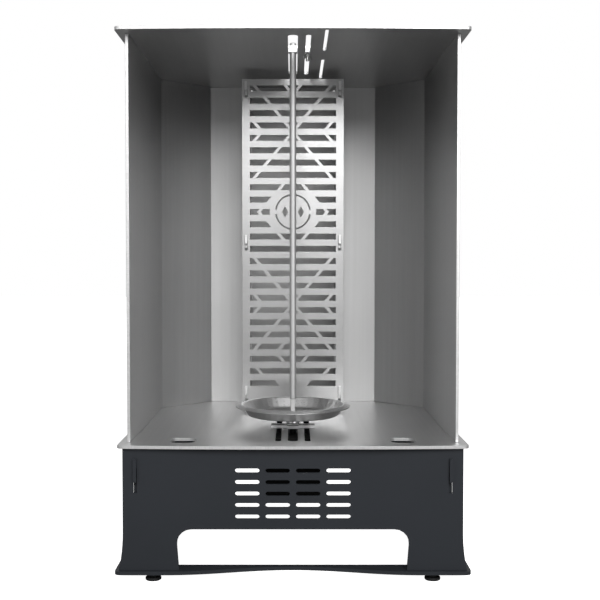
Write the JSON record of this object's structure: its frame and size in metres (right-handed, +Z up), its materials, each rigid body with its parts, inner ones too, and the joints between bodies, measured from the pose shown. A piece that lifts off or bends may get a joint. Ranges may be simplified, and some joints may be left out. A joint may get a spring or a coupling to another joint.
{
  "type": "vertical rotisserie oven",
  "caption": "Open-front vertical rotisserie oven of cut sheet metal: a spit with drip pan in front of a slotted fire grate, on a motor base with levelling feet.",
  "frame": {"origin": "on the ground, under the middle of the oven's overall box", "axes": "+Z up, the open front faces -Y, +X is to the right of a person who looks at the front"},
  "size_m": [0.493, 0.473, 0.772],
  "materials": {
    "stainless_sheet": "brushed, laser-cut edges",
    "stainless_bright": "fine ground",
    "powder_coat": "dark blue-grey powder coat, fine texture",
    "zinc": "zinc plated",
    "black_paint": "satin black paint",
    "black_plastic": "matte",
    "black_rubber": "matte"
  },
  "bodies": {
    "cabinet": {"roof_plate": "stainless_sheet", "deck_plate": "stainless_sheet", "left_wall": "stainless_sheet", "right_wall": "stainless_sheet", "back_wall": "stainless_sheet", "firebox_left_side": "stainless_sheet", "firebox_right_side": "stainless_sheet", "firebox_floor": "stainless_sheet", "base_front_panel": "powder_coat", "base_rear_panel": "powder_coat", "base_left_panel": "powder_coat", "base_right_panel": "powder_coat", "bottom_plate": "powder_coat", "jam_nut_front_left": "zinc", "jam_nut_front_right": "zinc", "jam_nut_rear_left": "zinc", "jam_nut_rear_right": "zinc"},
    "grate": {"grate": "stainless_sheet"},
    "foot_front_left": {"foot_front_left": "black_rubber"},
    "foot_front_right": {"foot_front_right": "black_rubber"},
    "foot_rear_left": {"foot_rear_left": "black_rubber"},
    "foot_rear_right": {"foot_rear_right": "black_rubber"},
    "carriage": {"carriage_plate": "stainless_bright", "bearing_block": "stainless_bright", "carriage_stud_left": "zinc", "carriage_stud_right": "zinc", "motor_case": "black_paint", "motor_top_plate": "black_paint", "motor_rear_plate": "black_paint", "motor_bottom_cover": "black_paint", "gearbox": "zinc", "motor_can": "zinc", "power_inlet": "black_plastic", "switch_bezel": "black_plastic"},
    "rocker": {"switch_rocker": "black_plastic"},
    "spindle": {"output_shaft": "zinc", "drive_socket": "stainless_bright", "drip_pan": "stainless_bright"},
    "rod": {"spit_rod": "stainless_bright"},
    "guide": {"guide_bar": "stainless_sheet", "guide_bolt": "zinc"},
    "wing_nut": {"wing_nut": "zinc"}
  },
  "joints": [
    {"name": "carriage_slide", "type": "slide", "parent": "cabinet", "child": "carriage", "axis": [0, 1, 0], "range_m": [-0.075, 0.05]},
    {"name": "spindle_turn", "type": "hinge", "parent": "carriage", "child": "spindle", "pos_m": [0, -0.08, 0.1993], "axis": [0, 0, 1], "continuous": true},
    {"name": "rod_lift", "type": "slide", "parent": "spindle", "child": "rod", "axis": [0, 0, 1], "range_m": [0, 0.03]},
    {"name": "guide_slide", "type": "slide", "parent": "cabinet", "child": "guide", "axis": [0, 1, 0], "range_m": [-0.075, 0.05]},
    {"name": "wing_nut_turn", "type": "hinge", "parent": "guide", "child": "wing_nut", "pos_m": [0.022, -0.074, 0.75], "axis": [0, 0, 1], "continuous": true},
    {"name": "grate_lift", "type": "slide", "parent": "cabinet", "child": "grate", "axis": [0, 0, 1], "range_m": [0, 0.0095]},
    {"name": "turn_front_left", "type": "hinge", "parent": "cabinet", "child": "foot_front_left", "pos_m": [-0.195, -0.209, 0], "axis": [0, 0, 1], "continuous": true},
    {"name": "turn_front_right", "type": "hinge", "parent": "cabinet", "child": "foot_front_right", "pos_m": [0.195, -0.209, 0], "axis": [0, 0, 1], "continuous": true},
    {"name": "turn_rear_left", "type": "hinge", "parent": "cabinet", "child": "foot_rear_left", "pos_m": [-0.195, 0.209, 0], "axis": [0, 0, 1], "continuous": true},
    {"name": "turn_rear_right", "type": "hinge", "parent": "cabinet", "child": "foot_rear_right", "pos_m": [0.195, 0.209, 0], "axis": [0, 0, 1], "continuous": true},
    {"name": "switch_rock", "type": "hinge", "parent": "carriage", "child": "rocker", "pos_m": [-0.025, -0.024, 0.133], "axis": [1, 0, 0], "range_deg": [0, 16]}
  ],
  "couplings": [
    {"joint": "guide_slide", "follows": "carriage_slide", "ratio": 1}
  ]
}
